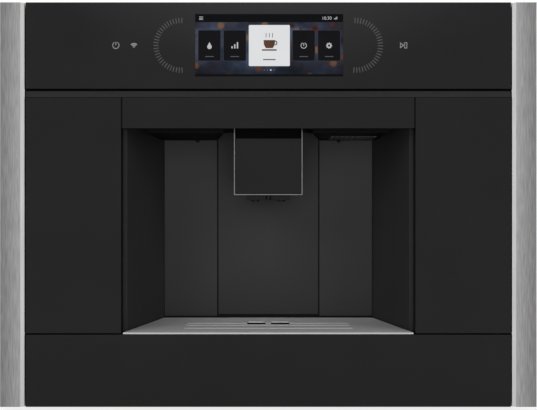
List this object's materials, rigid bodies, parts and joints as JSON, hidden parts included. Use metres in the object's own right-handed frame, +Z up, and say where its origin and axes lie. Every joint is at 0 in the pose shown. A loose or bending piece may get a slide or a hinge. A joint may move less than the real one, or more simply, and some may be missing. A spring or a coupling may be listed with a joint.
{
  "type": "built-in coffee machine",
  "caption": "Built-in coffee machine with black glass fascia, steel side trims, touch control panel, left-hinged door round a lit cup niche, height-adjustable outlet and a drip-tray drawer",
  "frame": {"origin": "centre of the bounding box's bottom face, on the floor that the feet stand on", "axes": "+X is the user's right, the front faces -Y, +Z is up"},
  "size_m": [0.596, 0.377, 0.455],
  "materials": {
    "black_glass": "opaque black glass, polished",
    "display": "display panel",
    "trim_steel": "vertical brushed grain",
    "plate_steel": "fine brushed",
    "hinge_steel": "plain machined steel",
    "black_plastic": "satin moulded",
    "grip_black": "satin black",
    "painted_black": "powder coated black",
    "grey_plastic": "moulded",
    "zinc_sheet": "galvanised sheet",
    "clear_plastic": "smoke clear moulding",
    "board": "circuit board",
    "cast_aluminium": "as cast",
    "pump_body": "moulded with coil",
    "hose": "white fluoropolymer",
    "red_plastic": "moulded",
    "drive_plastic": "natural acetal",
    "lamp": "smoked lens"
  },
  "bodies": {
    "housing": {"base_pan": "grey_plastic", "bean_container": "clear_plastic", "bean_lid": "clear_plastic", "brew_hose": "hose", "brew_motor": "cast_aluminium", "brew_unit_housing": "grey_plastic", "chassis_deck": "painted_black", "control_board": "board", "control_glass": "black_glass", "control_housing": "black_plastic", "dispenser_guide": "black_plastic", "display_module": "display", "door_catch": "black_plastic", "front_frame": "painted_black", "grinder_body": "grey_plastic", "hinge_arm_lower": "hinge_steel", "hinge_arm_upper": "hinge_steel", "left_ceiling_pod": "black_plastic", "left_side_panel": "zinc_sheet", "left_trim": "trim_steel", "mains_inlet": "black_plastic", "niche_back_centre": "black_plastic", "niche_back_left": "black_plastic", "niche_back_right": "black_plastic", "niche_ceiling": "black_plastic", "niche_lamp_left": "lamp", "niche_lamp_right": "lamp", "niche_left_wall": "black_plastic", "niche_right_wall": "black_plastic", "power_board": "board", "pressure_hose": "hose", "rear_panel": "zinc_sheet", "right_ceiling_pod": "black_plastic", "right_side_panel": "zinc_sheet", "right_trim": "trim_steel", "tank_lid": "clear_plastic", "thermoblock": "cast_aluminium", "top_panel": "zinc_sheet", "water_pump": "pump_body", "water_tank": "clear_plastic"},
    "door": {"door_frame": "black_plastic", "left_door_panel": "black_glass", "right_door_panel": "black_glass", "door_header": "black_glass", "door_grip_bar": "grip_black", "hinge_pin_lower": "hinge_steel", "hinge_pin_upper": "hinge_steel"},
    "drawer": {"drawer_front": "black_glass", "drip_tray": "grey_plastic", "drip_plate": "plate_steel", "grounds_container": "grey_plastic"},
    "float": {"tray_float": "red_plastic"},
    "dispenser": {"dispenser_carriage": "black_plastic", "dispenser_face": "black_glass", "dispenser_trim": "plate_steel", "coffee_nozzle": "black_plastic"},
    "burr": {"grinder_burr": "hinge_steel"},
    "piston": {"brew_piston": "drive_plastic"},
    "gear": {"brew_gear": "drive_plastic"},
    "lever": {"lock_lever": "red_plastic"}
  },
  "joints": [
    {"name": "door_hinge", "type": "hinge", "parent": "housing", "child": "door", "pos_m": [-0.2496, -0.1819, 0.22], "axis": [0, 0, -1], "range_deg": [0, 110]},
    {"name": "drawer_slide", "type": "slide", "parent": "housing", "child": "drawer", "axis": [0, -1, 0], "range_m": [0, 0.18]},
    {"name": "float_rise", "type": "slide", "parent": "drawer", "child": "float", "axis": [0, 0, 1], "range_m": [0, 0.04]},
    {"name": "dispenser_height", "type": "slide", "parent": "housing", "child": "dispenser", "axis": [0, 0, 1], "range_m": [-0.08, 0]},
    {"name": "burr_turn", "type": "hinge", "parent": "housing", "child": "burr", "pos_m": [-0.212, -0.0855, 0.22], "axis": [0, 0, 1], "continuous": true},
    {"name": "piston_slide", "type": "slide", "parent": "housing", "child": "piston", "axis": [0, 0, 1], "range_m": [-0.03, 0]},
    {"name": "gear_turn", "type": "hinge", "parent": "housing", "child": "gear", "pos_m": [-0.219, -0.0855, 0.1722], "axis": [0, 1, 0], "range_deg": [0, 175]},
    {"name": "lever_turn", "type": "hinge", "parent": "housing", "child": "lever", "pos_m": [-0.202, -0.153, 0.1189], "axis": [0, 1, 0], "range_deg": [0, 90]}
  ],
  "couplings": [
    {"joint": "gear_turn", "follows": "piston_slide", "rad_per_m": -100}
  ]
}
